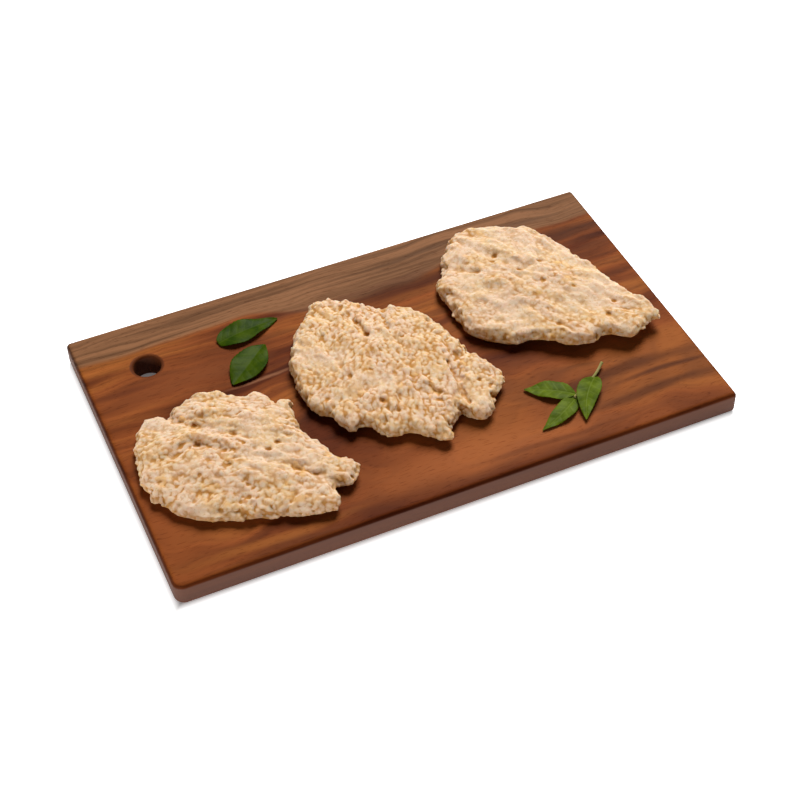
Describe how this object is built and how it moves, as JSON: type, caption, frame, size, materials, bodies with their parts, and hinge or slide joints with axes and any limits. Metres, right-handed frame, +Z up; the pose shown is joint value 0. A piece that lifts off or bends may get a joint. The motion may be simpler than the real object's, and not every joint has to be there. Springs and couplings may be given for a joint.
{
  "type": "board of breaded chicken fillets",
  "caption": "Rectangular acacia serving board with a hanging hole, holding flattened chicken fillets in a thick pale crumb coating and a few fresh basil leaves.",
  "frame": {"origin": "middle of the board's underside", "axes": "+X along the board, away from the end with the hanging hole; +Y to the board's pale back edge; +Z up out of the food"},
  "size_m": [0.336, 0.203, 0.0313],
  "materials": {
    "acacia": "oiled acacia plank, satin, reddish heartwood with a paler grey-brown strip along the back edge",
    "breading": "dry floury crumb coating, matt, pale cream with tan and golden crumbs",
    "basil_leaf": "fresh dark green basil leaf, satin",
    "basil_sprig": "fresh light green basil leaves on a pale stem, satin"
  },
  "bodies": {
    "root": {"board": "acacia", "fillet_left": "breading", "fillet_middle": "breading", "fillet_right": "breading", "leaf_back": "basil_leaf", "leaf_front": "basil_leaf", "sprig": "basil_sprig"}
  },
  "joints": []
}
